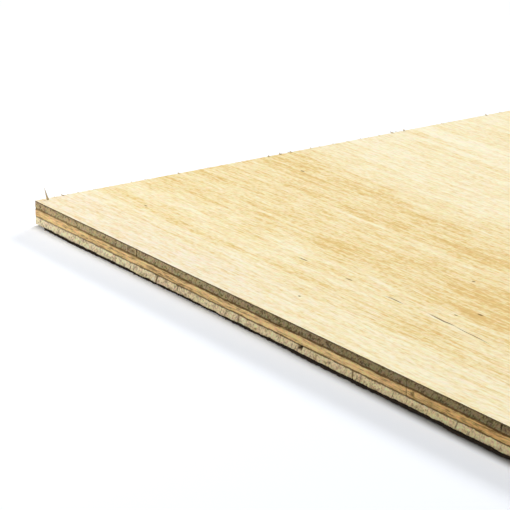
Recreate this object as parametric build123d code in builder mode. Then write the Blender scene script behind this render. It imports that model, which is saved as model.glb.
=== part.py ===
from build123d import *
from math import radians, tan
import os

# Five-ply plywood sheet, lying flat with its face veneer up.
# Millimetres. The origin is at the middle of the underside, +X runs along the face grain
# and +Z points up. The sawn corner that shows the lay-up is at -X, -Y.

# Sheet, cut to a standard trade size
sheet_length = 2440.0
sheet_width = 1220.0

# Plies, from the top down; neighbours lie with their grain at right angles to each other
face_veneer_thickness = 0.35
upper_crossband_thickness = 2.45
core_veneer_thickness = 2.95
lower_crossband_thickness = 2.8
back_veneer_thickness = 0.45

# Split in the upper crossband, open at the near sawn edge and closing along its grain
upper_split_from_corner = 68.0
upper_split_width = 0.3
upper_split_lean = 4.0
upper_split_depth = 45.0

# Split in the lower crossband, wider and leaning as its knife checks do
lower_split_from_corner = 80.0
lower_split_width = 0.7
lower_split_lean = 24.0
lower_split_depth = 85.0

# Gap under the core veneer, where a sliver is missing from the lower crossband
core_gap_from_corner = 161.0
core_gap_width = 1.3
core_gap_height = 1.2
core_gap_depth = 30.0

# Width of a split at its inner end
closed_width = 0.05

# Back veneer broken away at the sawn corner, in a hollow curve
chip_along_length = 6.0
chip_along_width = 8.0
chip_hollow = 1.1

# Heights of the glue lines above the floor
back_glue_line = back_veneer_thickness
lower_glue_line = back_glue_line + lower_crossband_thickness
upper_glue_line = lower_glue_line + core_veneer_thickness
face_glue_line = upper_glue_line + upper_crossband_thickness

# The corner where the two sawn edges meet
corner_x = -sheet_length / 2
corner_y = -sheet_width / 2


def crossband_split(from_corner, width, height, lean, depth, bottom):
    """A wedge that follows a crossband's grain in from the near edge and closes there."""
    mouth = (corner_x + from_corner, corner_y, bottom)
    near_edge = Plane(origin=mouth, x_dir=(1, 0, 0), z_dir=(0, -1, 0))
    shift = height * tan(radians(lean))
    with BuildPart() as split:
        for inset, half_width in ((0, width / 2), (depth, closed_width / 2)):
            with BuildSketch(near_edge.offset(-inset)):
                with BuildLine():
                    Polyline(
                        (-half_width, 0),
                        (half_width, 0),
                        (half_width + shift, height),
                        (-half_width + shift, height),
                        close=True,
                    )
                make_face()
        loft()
    return split.part


upper_split = crossband_split(
    upper_split_from_corner,
    upper_split_width,
    upper_crossband_thickness,
    upper_split_lean,
    upper_split_depth,
    upper_glue_line,
)
lower_split = crossband_split(
    lower_split_from_corner,
    lower_split_width,
    lower_crossband_thickness,
    lower_split_lean,
    lower_split_depth,
    back_glue_line,
)
core_gap = crossband_split(
    core_gap_from_corner,
    core_gap_width,
    core_gap_height,
    lower_split_lean,
    core_gap_depth,
    lower_glue_line - core_gap_height,
)

# Back veneer, long grain, with its broken corner
with BuildPart() as back_veneer:
    with BuildSketch():
        Rectangle(sheet_length, sheet_width)
        with BuildLine():
            corner = (corner_x, corner_y)
            chip_end = (corner_x + chip_along_length, corner_y)
            chip_side = (corner_x, corner_y + chip_along_width)
            Polyline(chip_side, corner, chip_end)
            SagittaArc(chip_end, chip_side, chip_hollow)
        make_face(mode=Mode.SUBTRACT)
    extrude(amount=back_veneer_thickness)
back_veneer.part.label = "back_veneer"

# Lower crossband, cross grain, with its split and the gap under the core
with BuildPart() as lower_crossband:
    with BuildSketch(Plane.XY.offset(back_glue_line)):
        Rectangle(sheet_length, sheet_width)
    extrude(amount=lower_crossband_thickness)
    add(lower_split, mode=Mode.SUBTRACT)
    add(core_gap, mode=Mode.SUBTRACT)
lower_crossband.part.label = "lower_crossband"

# Core veneer, long grain
with BuildPart() as core_veneer:
    with BuildSketch(Plane.XY.offset(lower_glue_line)):
        Rectangle(sheet_length, sheet_width)
    extrude(amount=core_veneer_thickness)
core_veneer.part.label = "core_veneer"

# Upper crossband, cross grain, with its split
with BuildPart() as upper_crossband:
    with BuildSketch(Plane.XY.offset(upper_glue_line)):
        Rectangle(sheet_length, sheet_width)
    extrude(amount=upper_crossband_thickness)
    add(upper_split, mode=Mode.SUBTRACT)
upper_crossband.part.label = "upper_crossband"

# Face veneer, long grain
with BuildPart() as face_veneer:
    with BuildSketch(Plane.XY.offset(face_glue_line)):
        Rectangle(sheet_length, sheet_width)
    extrude(amount=face_veneer_thickness)
face_veneer.part.label = "face_veneer"

os.makedirs("parts", exist_ok=True)
export_step(back_veneer.part, "parts/back_veneer.step")
export_step(lower_crossband.part, "parts/lower_crossband.step")
export_step(core_veneer.part, "parts/core_veneer.step")
export_step(upper_crossband.part, "parts/upper_crossband.step")
export_step(face_veneer.part, "parts/face_veneer.step")
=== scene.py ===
import logging
import math
import random
from collections.abc import Sequence
from dataclasses import dataclass, replace
from enum import Enum
from functools import reduce
from operator import add
from typing import Any

import bmesh
import bpy
from bmesh.types import BMEdge, BMesh, BMFace, BMVert
from mathutils import Matrix, Vector, noise

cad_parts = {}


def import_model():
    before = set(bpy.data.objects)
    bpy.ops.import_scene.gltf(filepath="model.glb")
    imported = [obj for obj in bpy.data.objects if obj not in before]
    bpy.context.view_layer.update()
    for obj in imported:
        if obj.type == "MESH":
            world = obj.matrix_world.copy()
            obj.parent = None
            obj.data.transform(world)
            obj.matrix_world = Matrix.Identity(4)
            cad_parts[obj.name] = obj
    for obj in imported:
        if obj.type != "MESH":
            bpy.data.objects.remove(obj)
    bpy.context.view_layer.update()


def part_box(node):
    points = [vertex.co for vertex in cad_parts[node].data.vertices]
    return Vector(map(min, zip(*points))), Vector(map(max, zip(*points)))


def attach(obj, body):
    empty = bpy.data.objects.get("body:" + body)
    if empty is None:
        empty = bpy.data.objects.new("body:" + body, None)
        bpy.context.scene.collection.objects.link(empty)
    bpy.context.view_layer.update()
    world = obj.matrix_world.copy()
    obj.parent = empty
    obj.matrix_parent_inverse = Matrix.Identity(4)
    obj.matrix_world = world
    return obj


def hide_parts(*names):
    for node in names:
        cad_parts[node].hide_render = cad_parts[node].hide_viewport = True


log = logging.getLogger("plywood_sheet")

Triple = tuple[float, float, float]
Colour = Triple
Span = tuple[float, float]

MM = 0.001
PLY_HEIGHT = "ply_height"
HOLLOW = "hollow"

# Size of a pattern's cell along a direction in which it stays the same, in millimetres
FLAT = 1.0e6


@dataclass(frozen=True)
class Pixel:
    """A place in the photograph, in its own 510 x 510 pixels."""

    x: float
    y: float


@dataclass(frozen=True)
class PhotoView:
    """The photograph's viewpoint, fixed by the sheet's corner and its two edges."""

    corner: Vector
    image_size: float = 510.0
    focal_pixels: float = 2325.0
    azimuth: float = math.radians(55.13)
    elevation: float = math.radians(18.14)
    corner_pixel: Pixel = Pixel(34.9, 200.5)
    corner_depth: float = 0.8286
    sensor_width: float = 36.0
    nearest: float = 0.01

    def forward(self) -> Vector:
        """Return the direction in which the camera looks."""
        level = math.cos(self.elevation)
        turn = self.azimuth
        return Vector((-math.sin(turn) * level, math.cos(turn) * level, -math.sin(self.elevation)))

    def right(self) -> Vector:
        """Return the direction of the image's right side."""
        return Vector((math.cos(self.azimuth), math.sin(self.azimuth), 0.0))

    def ray(self, pixel: Pixel) -> Vector:
        """Find where a pixel looks.

        Args:
            pixel: A place in the photograph.

        Returns:
            A vector along the line of sight, one metre deep.
        """
        middle = self.image_size / 2
        up = self.right().cross(self.forward())
        across = (pixel.x - middle) / self.focal_pixels
        down = (pixel.y - middle) / self.focal_pixels
        return self.forward() + self.right() * across - up * down

    def location(self) -> Vector:
        """Return the camera's place, from which the corner falls on its pixel."""
        return self.corner - self.ray(self.corner_pixel) * self.corner_depth

    def on_face(self, pixel: Pixel) -> Vector:
        """Find the point of the sheet's top face that a pixel shows.

        Args:
            pixel: A place in the photograph.

        Returns:
            The point, in the model's frame.
        """
        line = self.ray(pixel)
        reach = (self.corner.z - self.location().z) / line.z
        return self.location() + line * reach

    def add_camera(self) -> None:
        """Add the camera and make it the scene's own."""
        data = bpy.data.cameras.new("photo_camera")
        data.sensor_width = self.sensor_width
        data.lens = self.focal_pixels / self.image_size * self.sensor_width
        data.clip_start = self.nearest
        camera = bpy.data.objects.new("photo_camera", data)
        bpy.context.collection.objects.link(camera)
        back = -self.forward()
        up = back.cross(self.right())
        axes = Matrix((self.right(), up, back)).transposed()
        camera.matrix_world = Matrix.Translation(self.location()) @ axes.to_4x4()
        bpy.context.scene.camera = camera


@dataclass(frozen=True)
class Pattern:
    """A noise in a material: its cell in millimetres, its finer layers, its offset and its weight."""

    cell: Triple
    detail: float
    rough: float
    offset: float
    weight: float = 1.0

    def moved(self, seed: float, strength: float = 1.0) -> "Pattern":
        """Return the same pattern at another place, and stronger or weaker."""
        return replace(self, offset=self.offset + seed, weight=self.weight * strength)


class Socket:
    """A shader value that can stand in a Python expression."""

    def __init__(self, tree: bpy.types.NodeTree, output: bpy.types.NodeSocket) -> None:
        """Wrap one output of a node in its tree."""
        self.tree = tree
        self.output = output

    def math(self, operation: str, *others: "Socket | float", swap: bool = False,
             clamp: bool = False) -> "Socket":
        """Add one Math node.

        Args:
            operation: The Math node's operation.
            others: The other operands, as sockets or numbers.
            swap: Whether this socket comes after the others.
            clamp: Whether the result is held between 0 and 1.

        Returns:
            The node's value.
        """
        node = self.tree.nodes.new("ShaderNodeMath")
        node.operation = operation
        node.use_clamp = clamp
        operands = [*others, self] if swap else [self, *others]
        for slot, operand in zip(node.inputs, operands):
            if isinstance(operand, Socket):
                self.tree.links.new(operand.output, slot)
            else:
                slot.default_value = operand
        return Socket(self.tree, node.outputs[0])

    def __add__(self, other: "Socket | float") -> "Socket":
        """Return the sum."""
        return self.math("ADD", other)

    def __radd__(self, other: "Socket | float") -> "Socket":
        """Return the sum."""
        return self.math("ADD", other)

    def __sub__(self, other: "Socket | float") -> "Socket":
        """Return the difference."""
        return self.math("SUBTRACT", other)

    def __rsub__(self, other: "Socket | float") -> "Socket":
        """Return the difference, the other way round."""
        return self.math("SUBTRACT", other, swap=True)

    def __mul__(self, other: "Socket | float") -> "Socket":
        """Return the product."""
        return self.math("MULTIPLY", other)

    def power(self, exponent: float) -> "Socket":
        """Return the value raised to a power."""
        return self.math("POWER", exponent)

    def absolute(self) -> "Socket":
        """Return the value without its sign."""
        return self.math("ABSOLUTE")

    def clamped(self) -> "Socket":
        """Return the value held between 0 and 1."""
        return self.math("ADD", 0.0, clamp=True)

    def larger(self, other: "Socket | float") -> "Socket":
        """Return the larger of two values."""
        return self.math("MAXIMUM", other)


class Shader:
    """A node tree under construction, written as calls and expressions."""

    def __init__(self, owner: bpy.types.Material | bpy.types.World) -> None:
        """Start the owner's tree with nothing but its output."""
        owner.use_nodes = True
        self.owner = owner
        self.tree = owner.node_tree
        self.tree.nodes.clear()
        kind = "World" if isinstance(owner, bpy.types.World) else "Material"
        self.output = self.tree.nodes.new(f"ShaderNodeOutput{kind}")

    def node(
        self,
        kind: str,
        settings: dict[str, Any] | None = None,
        inputs: dict[int | str, Any] | None = None,
        output: int | str = 0,
    ) -> Socket:
        """Add any node.

        Args:
            kind: The node's type.
            settings: Values set on the node first.
            inputs: Values or sockets for the node's inputs, by name or number.
            output: The output to return, by name or number.

        Returns:
            The chosen output.
        """
        node = self.tree.nodes.new(kind)
        for name, value in (settings or {}).items():
            setattr(node, name, value)
        for name, value in (inputs or {}).items():
            if isinstance(value, Socket):
                self.tree.links.new(value.output, node.inputs[name])
            else:
                node.inputs[name].default_value = value
        return Socket(self.tree, node.outputs[output])

    def vector(self, operation: str, first: Any, second: Any, output: int | str = 0) -> Socket:
        """Add a Vector Math node for two vectors, each a socket or a tuple."""
        return self.node("ShaderNodeVectorMath", {"operation": operation}, {0: first, 1: second}, output)

    def position(self, origin: Sequence[float] = (0.0, 0.0, 0.0)) -> Socket:
        """Place the pattern.

        Args:
            origin: The point that the pattern is measured from, in metres.

        Returns:
            Each point's distance from the origin along X, Y and Z, in millimetres.
        """
        at = self.node("ShaderNodeTexCoord", output="Object")
        moved = self.vector("SUBTRACT", at, tuple(origin))
        return self.vector("MULTIPLY", moved, (1 / MM, 1 / MM, 1 / MM))

    def part(self, vector: Socket, axis: str) -> Socket:
        """Return one component of a vector."""
        return self.node("ShaderNodeSeparateXYZ", None, {0: vector}, axis)

    def shifted(self, at: Socket, moves: dict[int, Socket]) -> Socket:
        """Return a place moved along the numbered axes: 0 is X, 1 is Y and 2 is Z."""
        return self.vector("ADD", at, self.node("ShaderNodeCombineXYZ", None, moves))

    def clouds(self, at: Socket, pattern: Pattern, shift: Triple, output: int) -> Socket:
        """Add a noise node stretched to a pattern's cell.

        Args:
            at: The place on the pattern, in millimetres.
            pattern: The pattern.
            shift: Where in the noise the pattern starts, in cells.
            output: 0 for one value, 1 for a colour.

        Returns:
            The noise.
        """
        moved = self.vector("ADD", self.vector("DIVIDE", at, pattern.cell), shift)
        inputs = {"Vector": moved, "Scale": 1.0, "Detail": pattern.detail, "Roughness": pattern.rough}
        return self.node("ShaderNodeTexNoise", {"noise_dimensions": "3D"}, inputs, output)

    def noise(self, at: Socket, pattern: Pattern) -> Socket:
        """Return a pattern's value at a place, near 0.5 on average."""
        offset = pattern.offset
        return self.clouds(at, pattern, (offset, offset * 0.7, -offset * 0.4), 0)

    def swing(self, at: Socket, pattern: Pattern) -> Socket:
        """Return a pattern's value at a place, near 0 on average and as strong as its weight."""
        return (self.noise(at, pattern) - 0.5) * pattern.weight

    def tinted(self, colour: Socket, at: Socket, pattern: Pattern) -> Socket:
        """Let a colour's hue wander a little.

        Args:
            colour: The colour.
            at: The place on the pattern, in millimetres.
            pattern: The spots, whose weight is the share of itself by which a channel may drift.

        Returns:
            The spotted colour.
        """
        offset = pattern.offset
        reach = 2 * pattern.weight
        spots = self.clouds(at, pattern, (offset, -offset, offset * 0.3), 1)
        centred = self.vector("SUBTRACT", spots, (0.5, 0.5, 0.5))
        drift = self.vector("MULTIPLY", centred, (reach, reach, reach))
        return self.vector("MULTIPLY", colour, self.vector("ADD", drift, (1.0, 1.0, 1.0)))

    def step(self, value: Socket, start: float, end: float) -> Socket:
        """Rise smoothly from 0 to 1.

        Args:
            value: What is compared.
            start: The value at which the result is 0.
            end: The value at which the result is 1.

        Returns:
            The smooth step.
        """
        inputs = {"Value": value, "From Min": min(start, end), "From Max": max(start, end)}
        if start > end:
            inputs |= {"To Min": 1.0, "To Max": 0.0}
        return self.node("ShaderNodeMapRange", {"interpolation_type": "SMOOTHSTEP"}, inputs)

    def ramp(self, value: Socket, stops: Sequence[tuple[float, Colour]]) -> Socket:
        """Turn a value into a colour.

        Args:
            value: The value.
            stops: The place and the colour of each stop, in order.

        Returns:
            The colour.
        """
        colour = self.node("ShaderNodeValToRGB", None, {0: value})
        elements = colour.output.node.color_ramp.elements
        while len(elements) < len(stops):
            elements.new(1.0)
        for element, (place, stop_colour) in zip(elements, stops):
            element.position = place
            element.color = (*stop_colour, 1.0)
        return colour

    def mix(self, share: Socket | float, first: Any, second: Any, blend: str = "MIX") -> Socket:
        """Mix two colours.

        Args:
            share: The share of the second colour.
            first: The first colour, as a socket or a tuple of three.
            second: The second colour.
            blend: The way in which the second lies on the first.

        Returns:
            The mixed colour.
        """
        first = first if isinstance(first, Socket) else (*first, 1.0)
        second = second if isinstance(second, Socket) else (*second, 1.0)
        settings = {"data_type": "RGBA", "blend_type": blend, "clamp_factor": True}
        return self.node("ShaderNodeMix", settings, {0: share, 6: first, 7: second}, 2)

    def ellipse(self, at: Socket, centre: Triple, radii: Triple, soft: float) -> Socket:
        """Mark an ellipsoid.

        Args:
            at: The place on the pattern, in millimetres.
            centre: The ellipsoid's middle, in millimetres.
            radii: Its half sizes along X, Y and Z.
            soft: The share of its radius over which it fades.

        Returns:
            1 inside and 0 outside.
        """
        shaped = self.vector("DIVIDE", self.vector("SUBTRACT", at, centre), radii)
        reach = self.vector("LENGTH", shaped, (0.0, 0.0, 0.0), "Value")
        return self.step(reach, 1.0, 1.0 - soft)

    def attribute(self, name: str) -> Socket:
        """Read a number that the mesh carries."""
        return self.node("ShaderNodeAttribute", {"attribute_name": name}, None, "Fac")

    def facing_up(self) -> Socket:
        """Return how far the surface faces up, from -1 to 1."""
        return self.part(self.node("ShaderNodeNewGeometry", output="Normal"), "Z")

    def looked_at(self) -> Socket:
        """Return 1 for the rays that show the surface to the camera, also by mirror or glass."""
        kinds = ("Is Camera Ray", "Is Glossy Ray", "Is Transmission Ray")
        return reduce(Socket.larger, [self.node("ShaderNodeLightPath", output=kind) for kind in kinds])

    def close(self, surface: Socket) -> bpy.types.Material | bpy.types.World:
        """Link the surface to the output, and return the tree's owner."""
        self.tree.links.new(surface.output, self.output.inputs["Surface"])
        return self.owner

    def wood(self, colour: Socket, roughness: Socket | float, height: Socket, depth: float,
             gloss: float) -> bpy.types.Material:
        """Close the material with a rough, non-metallic surface.

        Args:
            colour: The surface's colour.
            roughness: Its roughness.
            height: The relief, from 0 to 1.
            depth: How deep the relief is, in metres.
            gloss: The strength of its mirror reflection.

        Returns:
            The material.
        """
        bump = self.node("ShaderNodeBump", None, {"Strength": 1.0, "Distance": depth, "Height": height})
        inputs = {"Base Color": colour, "Roughness": roughness, "Specular IOR Level": gloss, "Normal": bump}
        return self.close(self.node("ShaderNodeBsdfPrincipled", None, inputs))


@dataclass(frozen=True)
class Band:
    """A zone of the face veneer's figure that runs along the sheet, in millimetres from the near edge."""

    across: float
    half_width: float
    tone: float


@dataclass(frozen=True)
class Patch:
    """A lighter or darker place in the face veneer's figure, in millimetres from the corner."""

    along: float
    across: float
    half_length: float
    half_width: float
    tone: float


@dataclass(frozen=True)
class Fleck:
    """A small dark split or speck in the face, in millimetres from the corner."""

    along: float
    across: float
    half_length: float
    half_width: float
    slope: float = 0.0


@dataclass(frozen=True)
class FaceFinish:
    """Pale peeled hardwood with golden streaks along the grain."""

    corner: Vector
    whitest: Colour = (0.92, 0.85, 0.63)
    pale: Colour = (0.89, 0.80, 0.55)
    cream: Colour = (0.85, 0.71, 0.40)
    straw: Colour = (0.81, 0.65, 0.33)
    golden: Colour = (0.76, 0.56, 0.22)
    brown: Colour = (0.68, 0.44, 0.13)
    dark: Colour = (0.10, 0.045, 0.012)
    scar: Colour = (0.17, 0.095, 0.022)
    # The rim colour is partly the dark glue line and partly painted shade on the sawn side.
    edge: Colour = (0.147, 0.107, 0.046)
    # A less yellow tint for the face beside the near edge, close to the corner.
    corner_tint: Colour = (0.975, 0.968, 1.055)
    corner_tint_across: Span = (32.0, 6.0)
    corner_tint_along: Span = (170.0, 90.0)
    base_tone: float = 0.60
    grain: tuple[Pattern, ...] = (
        Pattern((75, 2.3, FLAT), 3, 0.6, 1.3, 0.74),
        Pattern((18, 6.0, FLAT), 3, 0.6, 5.9, 0.42),
        Pattern((11, 0.9, FLAT), 2, 0.6, 9.2, 0.80),
        Pattern((3.5, 0.5, FLAT), 2, 0.6, 2.4, 0.66),
        Pattern((2.0, 1.1, FLAT), 1, 0.5, 19.4, 0.52),
    )
    sway: Pattern = Pattern((260, 60, FLAT), 2, 0.5, 15.5, 22.0)
    unseen: Pattern = Pattern((1500, 46, FLAT), 2, 0.6, 3.1, 1.1)
    unseen_along: Span = (300.0, 700.0)
    ripple_along: Pattern = Pattern((18, 1.6, FLAT), 2, 0.6, 4.4, 48.0)
    ripple_across: Pattern = Pattern((30, 4.0, FLAT), 2, 0.6, 6.6, 7.0)
    wobble: Pattern = Pattern((6, 6, FLAT), 1, 0.5, 8.8, 0.9)
    spots: Pattern = Pattern((3.5, 1.4, FLAT), 1, 0.5, 27.0, 0.08)
    pores: Pattern = Pattern((6, 0.5, FLAT), 1, 0.5, 12.5)
    stain: Pattern = Pattern((3.0, 3.0, 1.0), 2, 0.6, 17.0)
    relief: Pattern = Pattern((10, 0.6, 0.6), 2, 0.6, 2.2)
    relief_depth: float = 0.00012
    gloss: float = 0.25
    patch_spread: float = 1.3
    bands: tuple[Band, ...] = (
        Band(6, 20, 0.06),
        Band(29, 5, -0.05),
        Band(57, 20, -0.17),
        Band(80, 12, -0.08),
        Band(99, 16, -0.18),
        Band(114, 7, -0.06),
        Band(145, 24, 0.07),
        Band(172, 9, 0.12),
        Band(205, 30, 0.07),
    )
    patches: tuple[Patch, ...] = (
        Patch(35, 29, 28, 1.6, -0.16),
        Patch(128, 29, 28, 4.0, -0.10),
        Patch(190, 28, 30, 7.0, -0.10),
        Patch(99, 42, 15, 6.5, 0.20),
        Patch(140, 45, 17, 3.5, 0.17),
        Patch(176, 44, 15, 4.0, 0.10),
        Patch(35, 39, 44, 1.2, 0.16),
        Patch(108, 56, 17, 6.0, -0.13),
        Patch(127, 63, 9, 6.5, -0.09),
        Patch(40, 58, 16, 8.0, -0.05),
        Patch(184, 60, 28, 15, -0.20),
        Patch(74, 86, 9, 1.8, -0.16),
        Patch(35, 85, 36, 1.4, -0.10),
        Patch(20, 88, 24, 1.1, 0.16),
        Patch(140, 89, 26, 3.0, -0.15),
        Patch(100, 82, 28, 1.1, 0.13),
        Patch(26, 97, 13, 3.2, -0.08),
        Patch(88, 99, 18, 3.8, -0.08),
        Patch(60, 111, 30, 2.6, -0.07),
        Patch(50, 165, 36, 2.4, 0.14),
        Patch(24, 174, 36, 4.2, 0.14),
        Patch(12, 168.5, 20, 1.7, -0.14),
        Patch(45, 160, 32, 1.2, -0.16),
        Patch(190, 90, 60, 60, -0.04),
    )
    flecks: tuple[Fleck, ...] = (
        Fleck(181, 39.0, 9.0, 0.42, -0.05),
        Fleck(196, 38.0, 12.0, 0.25, -0.07),
        Fleck(158, 38.7, 6.0, 0.30, 0.03),
        Fleck(109, 39.2, 3.0, 0.40),
        Fleck(134, 39.1, 2.2, 0.40),
        Fleck(158.4, 70.6, 1.0, 0.60),
        Fleck(184, 51.6, 1.6, 0.60),
        Fleck(180, 45.4, 1.2, 0.35),
        Fleck(138, 16.4, 0.8, 0.45),
        Fleck(28, 28.9, 1.2, 0.40),
        Fleck(24, 100.4, 1.6, 0.50),
    )

    def stops(self) -> list[tuple[float, Colour]]:
        """Return the tones of the wood, from brown to the palest, and their colours."""
        return [
            (0.12, self.brown),
            (0.30, self.golden),
            (0.42, self.straw),
            (0.55, self.cream),
            (0.75, self.pale),
            (1.00, self.whitest),
        ]

    def zones(self, shader: Shader, at: Socket) -> Socket:
        """Draw the long zones that the photo shows, and unseen ones of the same kind further on.

        Args:
            shader: The material.
            at: The place on the face, in millimetres from the photographed corner.

        Returns:
            How much the zones lift or lower the tone.
        """
        across = shader.part(at, "Y") + shader.swing(at, self.sway)
        seen = []
        for band in self.bands:
            distance = (across - band.across).absolute()
            seen.append(shader.step(distance, band.half_width * 1.35, band.half_width * 0.35) * band.tone)
        beyond = shader.step(shader.part(at, "X"), *self.unseen_along)
        unseen = shader.swing(at, self.unseen)
        return reduce(add, seen) * (1.0 - beyond * 0.8) + unseen * (0.15 + beyond * 0.75)

    def figure(self, shader: Shader, at: Socket) -> Socket:
        """Draw the veneer's figure, with ragged outlines to its patches.

        Args:
            shader: The material.
            at: The place on the face, in millimetres from the photographed corner.

        Returns:
            The tone, from 0 for brown to 1 for the palest wood.
        """
        tone = self.zones(shader, at) + self.base_tone
        for pattern in self.grain:
            tone = tone + shader.swing(at, pattern)
        ripple = {0: shader.swing(at, self.ripple_along), 1: shader.swing(at, self.ripple_across)}
        bent = shader.shifted(at, ripple)
        for patch in self.patches:
            centre = (patch.along, patch.across, 0.0)
            radii = (patch.half_length * self.patch_spread, patch.half_width * self.patch_spread, FLAT)
            tone = tone + shader.ellipse(bent, centre, radii, 0.8) * patch.tone
        return tone

    def scars(self, shader: Shader, at: Socket) -> Socket:
        """Return a mask of the dark splits and specks that the photo shows."""
        wobble = shader.swing(at, self.wobble)
        spots = []
        for fleck in self.flecks:
            lean = (shader.part(at, "X") - fleck.along) * fleck.slope
            bent = shader.shifted(at, {1: wobble - lean})
            radii = (fleck.half_length, fleck.half_width, FLAT)
            spots.append(shader.ellipse(bent, (fleck.along, fleck.across, 0.0), radii, 0.6))
        return reduce(Socket.larger, spots)

    def rim(self, shader: Shader, at: Socket) -> Socket:
        """Return the colour of the veneer's sawn rim, dark from glue and painted shade, and stained in
        places.
        """
        stained = shader.step(shader.noise(at, self.stain), 0.4, 0.65)
        return shader.mix(stained, self.edge, self.dark)

    def material(self) -> bpy.types.Material:
        """Build the material.

        Returns:
            The face veneer's material.
        """
        shader = Shader(bpy.data.materials.new("face_veneer"))
        at = shader.position(self.corner)
        tone = self.figure(shader, at)
        colour = shader.ramp(tone.clamped(), self.stops())
        # Beside the near edge and close to the corner the face is drawn less yellow.
        beside_edge = shader.step(shader.part(at, "Y"), *self.corner_tint_across)
        beside_corner = shader.step(shader.part(at, "X"), *self.corner_tint_along)
        greyed = shader.vector("MULTIPLY", colour, self.corner_tint)
        colour = shader.mix(beside_edge * beside_corner, colour, greyed)
        colour = shader.tinted(colour, at, self.spots)
        pores = shader.step(shader.noise(at, self.pores), 0.60, 0.74) * 0.45
        colour = shader.mix(pores, colour, self.golden, "MULTIPLY")
        scars = self.scars(shader, at)
        colour = shader.mix(scars * 0.92, colour, self.scar)
        upright = shader.step(shader.facing_up().absolute(), 0.6, 0.4)
        colour = shader.mix(upright, colour, self.rim(shader, at))
        relief = shader.noise(at, self.relief)
        height = relief * 0.5 + tone * 0.3 - pores * (1.0 - scars)
        roughness = 0.55 + relief * 0.15 + scars * 0.35
        return shader.wood(colour, roughness, height, self.relief_depth, self.gloss)


@dataclass(frozen=True)
class Stain:
    """A brown blotch on the near sawn edge: its place from the corner and the floor, in millimetres."""

    along: float
    height: float
    half_length: float
    half_height: float
    strength: float


@dataclass(frozen=True)
class GlueShade:
    """The dark line beside a glue line, which is broken by gaps."""

    colour: Colour
    reach: float
    strength: float
    gaps: float


@dataclass(frozen=True)
class CutWood:
    """The look of sawn wood: its fine grain, its broader blotches and its dark checks."""

    fine: Pattern
    blotch: Pattern
    checks: Pattern


class Grain(Enum):
    """Direction in which a ply's fibres run, with the look that it gives the near edge."""

    ALONG_LENGTH = CutWood(
        fine=Pattern((3.6, 0.7, 0.46), 3, 0.6, 0.0, 1.1),
        blotch=Pattern((15.0, 3.0, 0.90), 3, 0.6, 3.0, 0.9),
        checks=Pattern((6.0, 1.0, 0.32), 1, 0.5, 5.0),
    )
    ACROSS_WIDTH = CutWood(
        fine=Pattern((0.75, 40.0, 0.9), 2, 0.6, 0.0, 1.1),
        blotch=Pattern((3.2, 90.0, 1.8), 2, 0.6, 3.0, 0.9),
        checks=Pattern((0.8, 60.0, 5.0), 1, 0.5, 5.0),
    )


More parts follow.
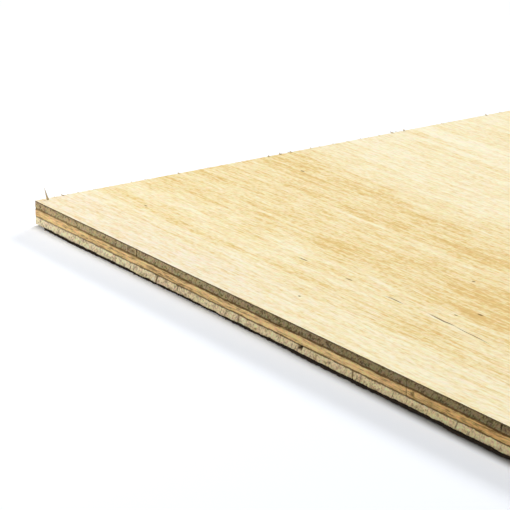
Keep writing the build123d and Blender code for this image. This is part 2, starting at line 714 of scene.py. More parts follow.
@dataclass(frozen=True)
class SawnFinish:
    """Sawn edge of a thick inner ply: end grain across its fibres, long grain along them."""

    name: str
    corner: Vector
    grain: Grain
    thickness: float
    wood: Colour
    # Away from the corner the wood is drawn darker, as painted shade for the light that falls off along the
    # edge.
    far_wood_painted_shade: Colour
    painted_shade_span: Span
    above: GlueShade
    below: GlueShade
    lean: float
    seed: float
    contrast: float
    tint: float
    stains: tuple[Stain, ...]
    slow: Pattern = Pattern((110.0, 110.0, 60.0), 2, 0.5, 12.0, 0.4)
    fine_tint: Pattern = Pattern((1.3, 1.3, 0.9), 1, 0.5, 20.0)
    broad_tint: Pattern = Pattern((7.0, 7.0, 2.0), 1, 0.5, 24.0, 0.5)
    warp_along: Pattern = Pattern((1.4, 1.4, 1.0), 2, 0.6, 30.0, 3.0)
    warp_up: Pattern = Pattern((1.8, 1.8, 0.8), 2, 0.6, 33.0, 1.2)
    glue_blot: Pattern = Pattern((2.6, 2.6, 60.0), 3, 0.65, 0.0, 0.8)
    glue_gaps: Pattern = Pattern((5.5, 5.5, 60.0), 2, 0.5, 4.0)
    shades: tuple[tuple[float, Colour], ...] = (
        (0.10, (0.33, 0.30, 0.26)),
        (0.50, (0.74, 0.74, 0.74)),
        (0.95, (1.0, 1.0, 1.0)),
    )
    lift: Colour = (1.35, 1.35, 1.35)
    brightest: Colour = (0.96, 0.95, 0.90)
    # Painted shade: near black, laid into the gaps of the splits by their depth.
    hollow: Colour = (0.03, 0.02, 0.012)
    stain_depth: float = 2.5
    rough: float = 0.85
    relief_depth: float = 0.00025
    gloss: float = 0.10

    def sheared(self, shader: Shader, at: Socket) -> Socket:
        """Shear the pattern so that upright marks lean as the knife checks do."""
        lean = shader.part(at, "Z") * -math.tan(self.lean)
        return shader.shifted(at, {0: lean, 1: lean})

    def glue_line(self, shader: Shader, at: Socket, distance: Socket, shade: GlueShade,
                  shift: float) -> Socket:
        """Darken the wood beside a glue line, in a broken line.

        Args:
            shader: The material.
            at: The place on the edge, in millimetres.
            distance: The distance from the glue line, in millimetres.
            shade: The look of the line.
            shift: An offset that tells one line from another.

        Returns:
            The mask of the line.
        """
        place = self.seed + shift
        reach = shader.swing(at, self.glue_blot.moved(place)) + shade.reach
        line = shader.step(distance - reach, 0.12, -0.12)
        gaps = shader.noise(at, self.glue_gaps.moved(place))
        whole = shader.step(gaps, 0.30, 0.55) * shade.gaps + (1.0 - shade.gaps)
        # The line is drawn fainter near the corner, at full strength about 100 mm away.
        fainter_near_corner = shader.step(shader.part(at, "X") + shader.part(at, "Y"), 0.0, 100.0) * 0.3 + 0.7
        return line * whole * fainter_near_corner * shade.strength

    def stain_mask(self, shader: Shader, at: Socket) -> Socket:
        """Return a mask of the brown blotches that the photo shows, with ragged outlines."""
        along = shader.swing(at, self.warp_along.moved(self.seed))
        rise = shader.swing(at, self.warp_up.moved(self.seed))
        bent = shader.shifted(at, {0: along, 2: rise})
        spots = []
        for stain in self.stains:
            radii = (stain.half_length, self.stain_depth, stain.half_height)
            spots.append(shader.ellipse(bent, (stain.along, 0.0, stain.height), radii, 0.7) * stain.strength)
        return reduce(Socket.larger, spots)

    def cut_wood(self, shader: Shader, at: Socket, fine: Socket, blotch: Socket) -> Socket:
        """Colour the wood of the cut.

        Args:
            shader: The material.
            at: The place on the edge, in millimetres.
            fine: The fine grain.
            blotch: The broader blotches.

        Returns:
            The colour.
        """
        look = self.grain.value
        swings = (fine - 0.5) * look.fine.weight + (blotch - 0.5) * look.blotch.weight
        tone = 0.5 + (swings + shader.swing(at, self.slow.moved(self.seed))) * self.contrast
        light = shader.vector("MULTIPLY", shader.ramp(tone.clamped(), self.shades), self.lift)
        # Painted shade: darker wood away from the corner, where the light falls off along the edge.
        run = shader.part(at, "X") + shader.part(at, "Y")
        wood = shader.mix(shader.step(run, *self.painted_shade_span), self.wood, self.far_wood_painted_shade)
        colour = shader.vector("MINIMUM", shader.vector("MULTIPLY", wood, light), self.brightest)
        colour = shader.tinted(colour, at, self.fine_tint.moved(self.seed, self.tint))
        return shader.tinted(colour, at, self.broad_tint.moved(self.seed, self.tint))

    def material(self) -> bpy.types.Material:
        """Build the material.

        Returns:
            The ply's material.
        """
        shader = Shader(bpy.data.materials.new(self.name))
        at = shader.position(self.corner)
        sheared = self.sheared(shader, at)
        look = self.grain.value
        layers = (look.fine, look.blotch, look.checks)
        fine, blotch, checks = (shader.noise(sheared, layer.moved(self.seed)) for layer in layers)
        colour = self.cut_wood(shader, at, fine, blotch)
        dark = shader.step(checks, 0.64, 0.74) * 0.5
        colour = shader.mix(dark, colour, self.below.colour)
        colour = shader.mix(self.stain_mask(shader, at), colour, self.below.colour)
        height = shader.attribute(PLY_HEIGHT) * (1 / MM)
        below = self.glue_line(shader, at, height, self.below, 9.0)
        above = self.glue_line(shader, at, self.thickness / MM - height, self.above, 19.0)
        colour = shader.mix(below, colour, self.below.colour)
        colour = shader.mix(above, colour, self.above.colour)
        # Painted shade in the gaps of the splits, darker the deeper the gap.
        colour = shader.mix(shader.attribute(HOLLOW).clamped(), colour, self.hollow)
        relief = fine * 0.7 - dark * 0.6 - below.larger(above) * 0.4
        return shader.wood(colour, self.rough, relief, self.relief_depth, self.gloss)


@dataclass(frozen=True)
class BackFinish:
    """Dark thin veneer on the underside, nearly black where the saw cut it: partly its own dark wood, partly
    painted shadow of the gap under the sheet.
    """

    corner: Vector
    face: Colour = (0.33, 0.20, 0.12)
    streak: Colour = (0.22, 0.12, 0.07)
    # Near black: partly the veneer's own dark wood, partly painted shadow of the gap under the sheet.
    edge: Colour = (0.020, 0.014, 0.009)
    grain: Pattern = Pattern((90, 2.4, 1.0), 4, 0.6, 21.0)
    fray: Pattern = Pattern((2.0, 2.0, 0.6), 2, 0.5, 23.0)

    def material(self) -> bpy.types.Material:
        """Build the material.

        Returns:
            The back veneer's material.
        """
        shader = Shader(bpy.data.materials.new("back_veneer"))
        at = shader.position(self.corner)
        grain = shader.noise(at, self.grain)
        figure = shader.ramp(grain, [(0.35, self.streak), (0.65, self.face)])
        torn = shader.step(shader.facing_up(), -0.9, -0.7)
        frayed = shader.step(shader.noise(at, self.fray), 0.55, 0.75) * 0.25
        # The sawn sides get the near-black colour, partly painted shadow.
        colour = shader.mix(torn, figure, shader.mix(frayed, self.edge, self.streak))
        return shader.wood(colour, 0.8, grain, 0.0001, 0.1)


@dataclass(frozen=True)
class SplinterFinish:
    """Torn wood fibre."""

    name: str
    root: Colour
    tip: Colour
    grain: Pattern = Pattern((0.5, 0.5, 1.8), 2, 0.5, 31.0)

    def material(self) -> bpy.types.Material:
        """Build the material.

        Returns:
            The splinters' material.
        """
        shader = Shader(bpy.data.materials.new(self.name))
        grain = shader.noise(shader.position(), self.grain)
        colour = shader.ramp(grain, [(0.35, self.root), (0.65, self.tip)])
        return shader.wood(colour, 0.7, grain, 0.00005, 0.2)


@dataclass(frozen=True)
class FloorFinish:
    """White studio floor that keeps the sheet's shadow; its distances are in millimetres."""

    half_length: float
    half_width: float
    paint: Colour = (0.86, 0.86, 0.86)
    seen: Colour = (1.00, 1.03, 1.08)
    white: Span = (60.0, 420.0)
    shade: Colour = (0.03, 0.028, 0.026)
    shade_reach: float = 5.8
    shade_strength: float = 0.85
    shade_along: Span = (115.0, 260.0)

    def distance(self, shader: Shader, at: Socket) -> Socket:
        """Return the distance of a place on the floor from the sheet's outline."""
        beyond_length = (shader.part(at, "X").absolute() - self.half_length).larger(0.0)
        beyond_width = (shader.part(at, "Y").absolute() - self.half_width).larger(0.0)
        return (beyond_length * beyond_length + beyond_width * beyond_width).power(0.5)

    def contact_shade(self, shader: Shader, at: Socket) -> Socket:
        """Return the share of painted shade beside the near edge, which grows away from the corner."""
        beside = shader.step(self.distance(shader, at), self.shade_reach, 0.0)
        in_front = shader.step(shader.part(at, "Y") + self.half_width, 1.0, 0.0)
        along = shader.step(shader.part(at, "X") + self.half_length, *self.shade_along)
        return beside * in_front * along * self.shade_strength

    def material(self) -> bpy.types.Material:
        """Build the material; the camera sees a whiter floor than the one that lights the sheet.

        Returns:
            The floor's material.
        """
        shader = Shader(bpy.data.materials.new("studio_floor"))
        at = shader.position()
        looked_at = shader.looked_at()
        shaded = shader.mix(self.contact_shade(shader, at), self.seen, self.shade)
        colour = shader.mix(looked_at, self.paint, shaded)
        diffuse = shader.node("ShaderNodeBsdfDiffuse", None, {"Color": colour})
        white = shader.node("ShaderNodeEmission", None, {"Color": (1.0, 1.0, 1.0, 1.0), "Strength": 1.0})
        share = looked_at * shader.step(self.distance(shader, at), *self.white)
        return shader.close(shader.node("ShaderNodeMixShader", None, {0: share, 1: diffuse, 2: white}))


@dataclass(frozen=True)
class Split:
    """A gap in the near sawn edge, along the grain of a crossband, in metres."""

    from_corner: float
    width: float
    lean: float
    depth: float
    bottom: float = 0.0
    top: float = 1.0
    taper: float = 0.0

    def reach(self, run: float, rise: float, height: float) -> float:
        """Measure how far the gap goes in at a point of the edge.

        Args:
            run: The point's distance from the corner, in metres.
            rise: The point's height above the ply's underside.
            height: The point's height as a share of the ply's thickness.

        Returns:
            The depth there, in metres.
        """
        if not self.bottom <= height <= self.top:
            return 0.0
        middle = self.from_corner + rise * math.tan(self.lean)
        width = self.width * (1.0 - self.taper * (1.0 - height))
        share = abs(run - middle) / (width / 2)
        return self.depth * max(0.0, 1.0 - share * share)


@dataclass(frozen=True)
class Waver:
    """A smooth random wandering along the sheet's outline, in cells of a given size in metres."""

    cell: float
    seed: float
    height: float

    def at(self, place: Vector) -> float:
        """Return the wandering at a place, of which only X and Y count."""
        return noise.noise(Vector((place.x / self.cell, place.y / self.cell, self.seed))) * self.height


@dataclass(frozen=True)
class GlueLine:
    """The boundary between two plies, which wanders a little along the sawn edges.

    It may sink at the photographed corner, where pale torn fibre hangs in place of the broken back veneer.
    """

    corner: Vector
    height: float
    sway: float
    ripple: float
    seed: float
    sink: float = 0.0
    sink_reach: float = 0.0055
    sway_cell: float = 0.016
    ripple_cell: float = 0.0028

    def at(self, place: Vector) -> float:
        """Find the boundary's height at a place on the sheet's outline.

        Args:
            place: A point, of which only X and Y count.

        Returns:
            The height above the floor, in metres.
        """
        slow = Waver(self.sway_cell, self.seed, self.sway)
        quick = Waver(self.ripple_cell, self.seed + 7.0, self.ripple)
        nearness = math.exp(-(((place.xy - self.corner).length / self.sink_reach) ** 2))
        return self.height + slow.at(place) + quick.at(place) - self.sink * nearness


@dataclass(frozen=True)
class FringeAndShadow:
    """Torn fibres that stand out under the saw cut, far from the corner more than beside it, in metres.
    Their near-black sides are partly torn wood and partly painted shadow of the gap under the edge.
    """

    length: float = 0.0011
    bare: float = 0.003
    rise: float = 0.010
    share_near: float = 0.85
    gain_far: float = 0.4
    far: float = 0.25
    mean: float = 0.75
    ragged: Waver = Waver(0.0017, 51.0, 0.30)
    slow: Waver = Waver(0.011, 57.0, 0.35)
    clean_place: float = 0.102
    clean_reach: float = 0.037
    clean_loss: float = 0.75

    def overhang(self, place: Vector, run: float) -> float:
        """Measure how far the fibres stand out.

        Args:
            place: The point on the outline.
            run: Its distance from the corner along the sheet.

        Returns:
            The overhang, in metres.
        """
        start = min(1.0, max(0.0, (run - self.bare) / self.rise))
        growth = start * (self.share_near + self.gain_far * min(1.0, max(0.0, run / self.far)))
        clean = math.exp(-(((run - self.clean_place) / self.clean_reach) ** 2))
        kept = self.mean + self.ragged.at(place) + self.slow.at(place) - clean * self.clean_loss
        return self.length * growth * max(0.0, kept)


@dataclass
class Ply:
    """One veneer of the sheet, with its sawn edges in relief; its sizes are in metres."""

    name: str
    below: GlueLine
    above: GlueLine
    rows: int
    tear: float
    groove: float
    splits: tuple[Split, ...] = ()
    chip: Vector | None = None
    chip_hollow: float = 0.62
    fringe_and_shadow: FringeAndShadow | None = None
    hollow_depth: float = 0.0012
    coarse_tear: Span = (0.0021, 0.6)
    fine_tear: Span = (0.0006, 0.5)
    fine_reach: float = 0.272
    side_reach: float = 0.250
    fine_step: float = 0.00015
    side_step: float = 0.0008
    plain_step: float = 0.004
    smooth_angle: float = math.radians(50)

    def build(self, low: Vector, high: Vector, material: bpy.types.Material) -> bpy.types.Object:
        """Build the ply.

        Args:
            low: The lowest corner of the ply's box.
            high: The highest corner.
            material: The ply's finish.

        Returns:
            The ply's object, which stands for the node of its name.
        """
        mesh = bmesh.new()
        outline = self.outline(mesh, low, high)
        self.stack(mesh, outline, low, high)
        height_layer = mesh.verts.layers.float.new(PLY_HEIGHT)
        hollow_layer = mesh.verts.layers.float.new(HOLLOW)
        for vert in mesh.verts:
            self.cut(vert, low, high, height_layer, hollow_layer)
        bmesh.ops.recalc_face_normals(mesh, faces=mesh.faces[:])
        piece = as_object(mesh, f"{self.name}_dressed", material)
        piece.data.set_sharp_from_angle(angle=self.smooth_angle)
        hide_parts(self.name)
        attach(piece, "root")
        return piece

    def outline(self, mesh: BMesh, low: Vector, high: Vector) -> BMFace:
        """Draw the ply's outline, finely divided near the photographed corner.

        Args:
            mesh: The mesh to draw in.
            low: The lowest corner of the ply's box.
            high: The highest corner.

        Returns:
            The outline, as one face.
        """
        bmesh.ops.create_grid(mesh, x_segments=1, y_segments=1, size=0.5)
        size = high - low
        bmesh.ops.scale(mesh, vec=(size.x, size.y, 1.0), verts=mesh.verts)
        middle = Vector(((low.x + high.x) / 2, (low.y + high.y) / 2, low.z))
        bmesh.ops.translate(mesh, vec=middle, verts=mesh.verts)
        for edge in mesh.edges[:]:
            centre = (edge.verts[0].co + edge.verts[1].co) / 2
            if centre.y < low.y + MM:
                self.divide(mesh, edge, low, self.fine_reach, self.fine_step)
            elif centre.x < low.x + MM:
                self.divide(mesh, edge, low, self.side_reach, self.side_step)
            else:
                self.divide_evenly(mesh, edge, self.plain_step)
        return mesh.faces[:][0]

    def divide(self, mesh: BMesh, edge: BMEdge, low: Vector, reach: float, step: float) -> None:
        """Divide an edge finely near the photographed corner, and coarsely beyond.

        Args:
            mesh: The mesh.
            edge: The edge, which meets that corner.
            low: The lowest corner of the ply's box.
            reach: The length that gets the fine step, in metres.
            step: The fine step, in metres.
        """
        share = reach / edge.calc_length()
        starts_here = (edge.verts[0].co.xy - low.xy).length < MM
        percent = share if starts_here else 1.0 - share
        split = bmesh.ops.bisect_edges(mesh, edges=[edge], cuts=1, edge_percents={edge: percent})
        pieces = [piece for piece in split["geom_split"] if isinstance(piece, BMEdge)]
        for piece in pieces:
            centre = (piece.verts[0].co + piece.verts[1].co) / 2
            near = (centre.xy - low.xy).length < reach
            self.divide_evenly(mesh, piece, step if near else self.plain_step)

    @staticmethod
    def divide_evenly(mesh: BMesh, edge: BMEdge, step: float) -> None:
        """Divide an edge into equal lengths of about one step."""
        cuts = max(1, round(edge.calc_length() / step) - 1)
        bmesh.ops.bisect_edges(mesh, edges=[edge], cuts=cuts)

    def stack(self, mesh: BMesh, outline: BMFace, low: Vector, high: Vector) -> None:
        """Raise the outline to the ply's thickness, one row at a time.

        Args:
            mesh: The mesh.
            outline: The outline at the ply's underside.
            low: The lowest corner of the ply's box.
            high: The highest corner.
        """
        rise = (high.z - low.z) / self.rows
        top = outline
        for _ in range(self.rows):
            raised = bmesh.ops.extrude_face_region(mesh, geom=[top])["geom"]
            verts = [item for item in raised if isinstance(item, BMVert)]
            bmesh.ops.translate(mesh, vec=(0.0, 0.0, rise), verts=verts)
            top = next(item for item in raised if isinstance(item, BMFace))

    def cut(self, vert: BMVert, low: Vector, high: Vector, height_layer: Any, hollow_layer: Any) -> None:
        """Move one point of the sawn edge to its place in the relief.

        Args:
            vert: The point.
            low: The lowest corner of the ply's box.
            high: The highest corner.
            height_layer: The layer that keeps the point's height in the ply.
            hollow_layer: The layer that keeps how deep in a gap the point lies.
        """
        place = vert.co.copy()
        share = (place.z - low.z) / (high.z - low.z)
        floor_line = self.below.at(place)
        top_line = self.above.at(place)
        vert[height_layer] = share * (high.z - low.z)
        run = place.x - low.x
        gap = 0.0
        if place.y < low.y + MM:
            gap = max([split.reach(run, vert[height_layer], share) for split in self.splits], default=0.0)
        vert[hollow_layer] = min(1.0, gap / self.hollow_depth)
        # The back veneer's overhang is drawn near black, partly as painted shadow under the edge.
        overhang = self.fringe_and_shadow.overhang(place, run) if self.fringe_and_shadow else 0.0
        depth = self.relief(place, share) + gap - overhang * (1.0 - share)
        vert.co = place + self.inward(place, low, high) * depth
        vert.co.z = floor_line + (top_line - floor_line) * share
        if self.chip is not None:
            self.break_corner(vert, place - low)

    def break_corner(self, vert: BMVert, offset: Vector) -> None:
        """Draw the outline back where the ply's corner is broken away.

        Args:
            vert: A point of the outline.
            offset: Its place from the ply's lowest corner, before it was moved.
        """
        on_near_edge = offset.y < MM and offset.x < self.chip.x
        on_side_edge = offset.x < MM and offset.y < self.chip.y
        if not (on_near_edge or on_side_edge):
            return
        share = offset.x / self.chip.x if on_near_edge else offset.y / self.chip.y
        end = Vector((self.chip.x, 0.0)) if on_near_edge else Vector((0.0, self.chip.y))
        hollow = Vector((self.chip.x, self.chip.y)) * self.chip_hollow
        target = hollow.lerp(end, share)
        vert.co.x += target.x - offset.x
        vert.co.y += target.y - offset.y

    @staticmethod
    def inward(place: Vector, low: Vector, high: Vector) -> Vector:
        """Find the way into the sheet from a point on its outline.

        Args:
            place: The point.
            low: The lowest corner of the ply's box.
            high: The highest corner.

        Returns:
            The direction, which is slanted at the sheet's corners.
        """
        reach = 1e-6
        way = Vector((0.0, 0.0, 0.0))
        way.x += 1.0 if place.x < low.x + reach else 0.0
        way.x -= 1.0 if place.x > high.x - reach else 0.0
        way.y += 1.0 if place.y < low.y + reach else 0.0
        way.y -= 1.0 if place.y > high.y - reach else 0.0
        return way

    def relief(self, place: Vector, share: float) -> float:
        """Measure how far the torn fibres leave a point behind the saw's plane.

        Args:
            place: The point on the outline.
            share: Its height as a share of the ply's thickness.

        Returns:
            The depth, in metres.
        """
        coarse_cell, coarse_height = self.coarse_tear
        fine_cell, fine_height = self.fine_tear
        coarse = Waver(coarse_cell, share * 1.5 + self.rows, coarse_height).at(place)
        fine = Waver(fine_cell, share * 4.0 + self.rows, fine_height).at(place)
        rim = min(share, 1.0 - share)
        groove = self.groove * max(0.0, 1.0 - rim * self.rows)
        return max(0.0, self.tear * (0.5 + coarse + fine)) + groove


def as_object(mesh: BMesh, name: str, material: bpy.types.Material) -> bpy.types.Object:
    """Turn a finished bmesh into an object in the scene.

    Args:
        mesh: The bmesh, which is freed.
        name: The object's name.
        material: Its finish.

    Returns:
        The object.
    """
    data = bpy.data.meshes.new(name)
    mesh.to_mesh(data)
    mesh.free()
    data.materials.append(material)
    piece = bpy.data.objects.new(name, data)
    bpy.context.collection.objects.link(piece)
    for polygon in data.polygons:
        polygon.use_smooth = True
    return piece


@dataclass(frozen=True)
class Sliver:
    """A thin splinter that stands off the sheet."""

    root: Vector
    tip: Vector
    radius: float
    bend: float = 0.0001


@dataclass
class Splinters:
    """Fibres that the saw tore from the edges; their sizes are in metres."""

    view: PhotoView
    low: Vector
    high: Vector
    whisker_root: Pixel = Pixel(48.0, 199.6)
    whisker_height: float = 0.0046
    whisker_tilt: float = 0.0012
    whisker_radius: float = 0.00048
    whisker_bend: float = 0.0003
    whisker_inset: float = 0.0004
    root_depth: float = 0.0002
    fleck_places: tuple[float, ...] = (0.0115, 0.0610, 0.1015, 0.1070, 0.1120, 0.1615, 0.1670, 0.2095)
    small_flecks: int = 24
    small_scale: float = 0.5
    small_places: Span = (0.004, 0.235)
    fleck_inset: float = 0.0007
    fleck_length: Span = (0.0010, 0.0018)
    fleck_stray: Span = (-0.0012, 0.0012)
    fleck_rise: float = 0.0006
    fleck_radius: float = 0.0005
    fuzz_count: int = 90
    fuzz_start: float = 0.006
    fuzz_places: Span = (0.0, 0.262)
    fuzz_root: Span = (0.0004, 0.0001)
    fuzz_stray: Span = (-0.0016, 0.0016)
    fuzz_length: Span = (0.0005, 0.0012)
    fuzz_drop: Span = (0.0002, 0.0004)
    fuzz_radius: Span = (0.00012, 0.00026)
    tip_share: float = 0.12
    sides: int = 6
    rings: int = 5
    seed: int = 11

    def build(self, pale: bpy.types.Material, dark: bpy.types.Material) -> list[bpy.types.Object]:
        """Build the splinters.

        Args:
            pale: The finish of the fibres of the face.
            dark: The finish of those under the sheet.

        Returns:
            The objects.
        """
        face = self.fibre_object("face_splinters", self.whisker() + self.short_edge(), pale)
        back = self.fibre_object("back_splinters_and_shadow", self.fuzz(), dark)
        return [face, back]

    def whisker(self) -> list[Sliver]:
        """Return the one long splinter that stands beside the corner."""
        root = self.view.on_face(self.whisker_root)
        root.x = max(root.x, self.low.x + self.whisker_inset)
        root.z = self.high.z - self.root_depth
        tip = root - self.view.right() * self.whisker_tilt + Vector((0.0, 0.0, self.whisker_height))
        return [Sliver(root, tip, self.whisker_radius, self.whisker_bend)]

    def short_edge(self) -> list[Sliver]:
        """Return the flecks along the short edge's upper arris."""
        chance = random.Random(self.seed)
        places = [(across, 1.0) for across in self.fleck_places]
        places += [(chance.uniform(*self.small_places), self.small_scale) for _ in range(self.small_flecks)]
        slivers = []
        for across, scale in places:
            height = self.high.z - self.root_depth
            root = Vector((self.low.x + self.fleck_inset, self.low.y + across, height))
            out = -chance.uniform(*self.fleck_length)
            way = Vector((out, chance.uniform(*self.fleck_stray), self.fleck_rise * scale))
            slivers.append(Sliver(root, root + way, self.fleck_radius * scale))
        return slivers

    def fuzz(self) -> list[Sliver]:
        """Return the fibres that hang from the back veneer along the near edge, near black as partly painted
        shadow under it.
        """
        chance = random.Random(self.seed + 1)
        inset, height = self.fuzz_root
        slivers = []
        for _ in range(self.fuzz_count):
            run = self.low.x + self.fuzz_start + chance.uniform(*self.fuzz_places)
            root = Vector((run, self.low.y + inset, height))
            stray = chance.uniform(*self.fuzz_stray)
            out = -chance.uniform(*self.fuzz_length)
            way = Vector((stray, out, -chance.uniform(*self.fuzz_drop)))
            slivers.append(Sliver(root, root + way, chance.uniform(*self.fuzz_radius)))
        return slivers

    def fibre_object(self, name: str, slivers: list[Sliver],
                     material: bpy.types.Material) -> bpy.types.Object:
        """Build slivers as one object.

        Args:
            name: The object's name.
            slivers: The slivers.
            material: Their finish.

        Returns:
            The object, which rides with the sheet.
        """
        mesh = bmesh.new()
        for sliver in slivers:
            self.add_sliver(mesh, sliver)
        bmesh.ops.recalc_face_normals(mesh, faces=mesh.faces[:])
        piece = as_object(mesh, name, material)
        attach(piece, "root")
        return piece

    def add_sliver(self, mesh: BMesh, sliver: Sliver) -> None:
        """Add one tapered sliver, bent along its length.

        Args:
            mesh: The mesh to add it to.
            sliver: Its root, tip and thickness.
        """
        way = sliver.tip - sliver.root
        before = len(mesh.verts)
        radii = {"radius1": sliver.radius, "radius2": sliver.radius * self.tip_share}
        bmesh.ops.create_cone(mesh, cap_ends=True, segments=self.sides, depth=way.length, **radii)
        mesh.verts.ensure_lookup_table()
        ends = set(mesh.verts[before:])
        shafts = [
            edge
            for edge in mesh.edges
            if ends.issuperset(edge.verts) and abs(edge.verts[0].co.z - edge.verts[1].co.z) > way.length / 2
        ]
        rings = self.rings if sliver.bend >= self.whisker_bend else 1
        bmesh.ops.subdivide_edges(mesh, edges=shafts, cuts=rings)
        mesh.verts.ensure_lookup_table()
        everything = mesh.verts[before:]
        for vert in everything:
            share = vert.co.z / way.length
            vert.co.x += sliver.bend * (0.25 - share * share) * 2
        turn = way.to_track_quat("Z", "Y").to_matrix().to_4x4()
        middle = (sliver.root + sliver.tip) / 2
        bmesh.ops.transform(mesh, matrix=Matrix.Translation(middle) @ turn, verts=everything)


def thickness(name: str) -> float:
    """Return the thickness of a ply in the frame."""
    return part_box(name)[1][2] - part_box(name)[0][2]


@dataclass
class PlywoodSheet:
    """The whole sheet: five plies and the splinters on their edges."""

    view: PhotoView
    corner: Vector
    torn_fibre: float = 0.00015
    lower_sag: float = 0.00005
    chip: Span = (0.006, 0.008)

    def glue_lines(self) -> list[GlueLine]:
        """Return the boundaries of the plies, from the floor up, as the frame places them."""
        corner = self.corner.xy
        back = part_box("back_veneer")
        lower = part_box("lower_crossband")
        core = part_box("core_veneer")
        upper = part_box("upper_crossband")
        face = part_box("face_veneer")
        return [
            GlueLine(corner, back[0][2] - self.torn_fibre, 0.00010, 0.00010, 5.5),
            GlueLine(corner, lower[0][2] - self.lower_sag, 0.00028, 0.00026, 1.5, sink=0.00040),
            GlueLine(corner, core[0][2], 0.00014, 0.00007, 11.5),
            GlueLine(corner, upper[0][2], 0.00011, 0.00008, 23.5),
            GlueLine(corner, face[0][2], 0.00004, 0.00004, 37.5),
            GlueLine(corner, face[1][2], 0.0, 0.0, 0.0),
        ]

    def plies(self) -> list[Ply]:
        """Return the plies, from the floor up."""
        lines = self.glue_lines()
        upper_splits = (
            Split(0.0679, 0.0006, math.radians(4), 0.006),
            Split(0.0622, 0.0004, math.radians(10), 0.0012, taper=0.5),
            Split(0.2127, 0.0004, math.radians(0), 0.0004),
            Split(0.2539, 0.0006, math.radians(8), 0.0010, taper=0.4),
        )
        lower_splits = (
            Split(0.0796, 0.0011, math.radians(24), 0.008, taper=0.6),
            Split(0.1605, 0.0022, math.radians(20), 0.006, bottom=0.46),
            Split(0.1277, 0.0004, math.radians(4), 0.0006, taper=0.5),
            Split(0.1872, 0.0006, math.radians(4), 0.0015, taper=0.3),
        )
        core_splits = (Split(0.2127, 0.0004, math.radians(0), 0.0004),)
        chip = Vector(self.chip)
        return [
            Ply("back_veneer", lines[0], lines[1], 3, 0.00020, 0.0, chip=chip, fringe_and_shadow=FringeAndShadow()),
            Ply("lower_crossband", lines[1], lines[2], 9, 0.00018, 0.00006, lower_splits),
            Ply("core_veneer", lines[2], lines[3], 9, 0.00010, 0.00008, core_splits),
            Ply("upper_crossband", lines[3], lines[4], 8, 0.00016, 0.00008, upper_splits),
            Ply("face_veneer", lines[4], lines[5], 2, 0.00008, 0.0),
        ]

    def lower_crossband(self) -> SawnFinish:
        """Return the pale end grain of the lower crossband."""
        return SawnFinish(
            name="lower_crossband",
            corner=self.corner,
            grain=Grain.ACROSS_WIDTH,
            thickness=thickness("lower_crossband"),
            wood=(0.96, 0.81, 0.54),
            far_wood_painted_shade=(0.96, 0.755, 0.435),
            painted_shade_span=(-20.0, 280.0),
            above=GlueShade((0.12, 0.065, 0.020), reach=0.28, strength=0.88, gaps=0.25),
            below=GlueShade((0.12, 0.08, 0.04), reach=0.02, strength=0.55, gaps=0.6),
            lean=math.radians(24),
            seed=40.0,
            contrast=1.2,
            tint=0.16,
            stains=(Stain(108.3, 2.2, 0.9, 0.5, 0.5), Stain(175.5, 1.8, 1.2, 0.9, 0.35)),
        )

    def core_veneer(self) -> SawnFinish:
        """Return the orange-tan long grain of the core."""
        return SawnFinish(
            name="core_veneer",
            corner=self.corner,
            grain=Grain.ALONG_LENGTH,
            thickness=thickness("core_veneer"),
            wood=(0.83, 0.575, 0.265),
            far_wood_painted_shade=(0.74, 0.465, 0.175),
            painted_shade_span=(170.0, 250.0),
            above=GlueShade((0.11, 0.055, 0.016), reach=0.42, strength=0.92, gaps=0.25),
            below=GlueShade((0.13, 0.070, 0.022), reach=0.26, strength=0.90, gaps=0.25),
            lean=math.radians(30),
            seed=60.0,
            contrast=1.75,
            tint=0.15,
            stains=(
                Stain(77.0, 4.6, 4.2, 1.1, 0.50),
                Stain(66.0, 5.3, 2.4, 0.6, 0.45),
                Stain(52.0, 5.0, 1.6, 0.5, 0.35),
                Stain(215.6, 4.9, 1.3, 0.9, 0.75),
                Stain(238.0, 4.5, 2.2, 0.9, 0.35),
            ),
        )

    def upper_crossband(self) -> SawnFinish:
        """Return the grey-brown end grain of the upper crossband."""
        return SawnFinish(
            name="upper_crossband",
            corner=self.corner,
            grain=Grain.ACROSS_WIDTH,
            thickness=thickness("upper_crossband"),
            wood=(0.425, 0.335, 0.178),
            far_wood_painted_shade=(0.25, 0.19, 0.095),
            painted_shade_span=(20.0, 215.0),
            above=GlueShade((0.10, 0.07, 0.03), reach=0.20, strength=0.55, gaps=0.5),
            below=GlueShade((0.10, 0.052, 0.016), reach=0.22, strength=0.90, gaps=0.25),
            lean=math.radians(30),
            seed=80.0,
            contrast=2.7,
            tint=0.30,
            stains=(
                Stain(64.8, 7.4, 3.0, 1.3, 0.40),
                Stain(60.0, 7.8, 1.5, 0.9, 0.30),
                Stain(92.0, 7.6, 2.0, 0.9, 0.25),
            ),
        )

    def finishes(self) -> dict[str, bpy.types.Material]:
        """Return each ply's material by its node's name."""
        return {
            "back_veneer": BackFinish(self.corner).material(),
            "lower_crossband": self.lower_crossband().material(),
            "core_veneer": self.core_veneer().material(),
            "upper_crossband": self.upper_crossband().material(),
            "face_veneer": FaceFinish(self.corner).material(),
        }

    def build(self) -> list[bpy.types.Object]:
        """Build every piece of the sheet.

        Returns:
            The pieces.
        """
        finishes = self.finishes()
        pieces = []
        for ply in self.plies():
            low, high = (Vector(corner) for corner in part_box(ply.name))
            pieces.append(ply.build(low, high, finishes[ply.name]))
        pale = SplinterFinish("pale_fibre", (0.58, 0.44, 0.26), (0.80, 0.68, 0.45)).material()
        # Near-black fibre: partly dark torn wood, partly painted shadow under the near edge.
        dark = SplinterFinish("dark_fibre_and_shadow", (0.02, 0.014, 0.008), (0.08, 0.05, 0.03)).material()
        low = Vector(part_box("back_veneer")[0])
        high = Vector(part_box("face_veneer")[1])
        return pieces + Splinters(self.view, low, high).build(pale, dark)


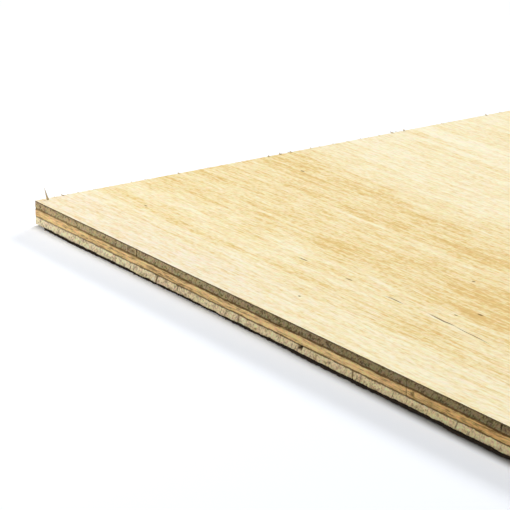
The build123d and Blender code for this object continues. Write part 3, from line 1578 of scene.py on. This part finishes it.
@dataclass(frozen=True)
class Lamp:
    """A soft light, placed by the direction from which it shines; its level is what it puts on the floor."""

    name: str
    target: Vector
    distance: float
    elevation: float
    azimuth: float
    width: float
    height: float
    level: float

    def add(self) -> None:
        """Add the lamp to the scene."""
        data = bpy.data.lights.new(self.name, "AREA")
        data.shape = "RECTANGLE"
        data.size = self.width
        data.size_y = self.height
        data.energy = (math.pi * self.distance) ** 2 * self.level / math.sin(self.elevation)
        lamp = bpy.data.objects.new(self.name, data)
        bpy.context.collection.objects.link(lamp)
        level = math.cos(self.elevation)
        turn = self.azimuth
        way = Vector((math.sin(turn) * level, math.cos(turn) * level, math.sin(self.elevation)))
        lamp.location = self.target + way * self.distance
        lamp.rotation_euler = way.to_track_quat("Z", "Y").to_euler()


@dataclass(frozen=True)
class Studio:
    """White floor and soft light."""

    corner: Vector
    floor_reach: float = 30.0
    floor_gap: float = 0.0003
    sky: float = 0.15
    sky_colour: Colour = (0.985, 0.99, 1.0)

    def lamps(self) -> list[Lamp]:
        """Return the lamps: broad ones from behind, and a near one in front of the corner."""
        return [
            Lamp("overhead", self.corner, 6.0, math.radians(74.6), math.radians(-40), 2.6, 2.6, level=0.55),
            Lamp("key", self.corner, 6.0, math.radians(26.8), math.radians(-20), 3.4, 1.1, level=0.26),
            Lamp("fill", self.corner, 0.45, math.radians(25.5), math.radians(-150), 0.3, 0.3, level=0.23),
        ]

    def build(self) -> None:
        """Build the floor, the world and the lamps."""
        mesh = bmesh.new()
        bmesh.ops.create_grid(mesh, x_segments=1, y_segments=1, size=self.floor_reach)
        bmesh.ops.translate(mesh, vec=(0.0, 0.0, -self.floor_gap), verts=mesh.verts)
        finish = FloorFinish(abs(self.corner.x) / MM, abs(self.corner.y) / MM)
        floor = as_object(mesh, "studio_floor", finish.material())
        self.build_world()
        for lamp in self.lamps():
            lamp.add()

    def build_world(self) -> None:
        """Give the scene a plain sky that the camera sees as white."""
        shader = Shader(bpy.data.worlds.new("studio"))
        sky = {"Color": (*self.sky_colour, 1.0), "Strength": self.sky}
        light = shader.node("ShaderNodeBackground", None, sky)
        white = shader.node("ShaderNodeBackground", None, {"Color": (1.0, 1.0, 1.0, 1.0)})
        inputs = {0: shader.looked_at(), 1: light, 2: white}
        bpy.context.scene.world = shader.close(shader.node("ShaderNodeMixShader", None, inputs))


def main() -> None:
    """Load the frame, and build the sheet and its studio."""
    logging.basicConfig(level=logging.INFO, format="%(name)s: %(message)s")
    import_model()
    bpy.context.scene.view_settings.view_transform = "Standard"
    low = Vector(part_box("back_veneer")[0])
    high = Vector(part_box("face_veneer")[1])
    view = PhotoView(Vector((low.x, low.y, high.z)))
    view.add_camera()
    floor_corner = Vector((low.x, low.y, 0.0))
    for piece in PlywoodSheet(view, floor_corner).build():
        log.info("%s: %d faces", piece.name, len(piece.data.polygons))
    Studio(floor_corner).build()


if __name__ == "__main__":
    main()
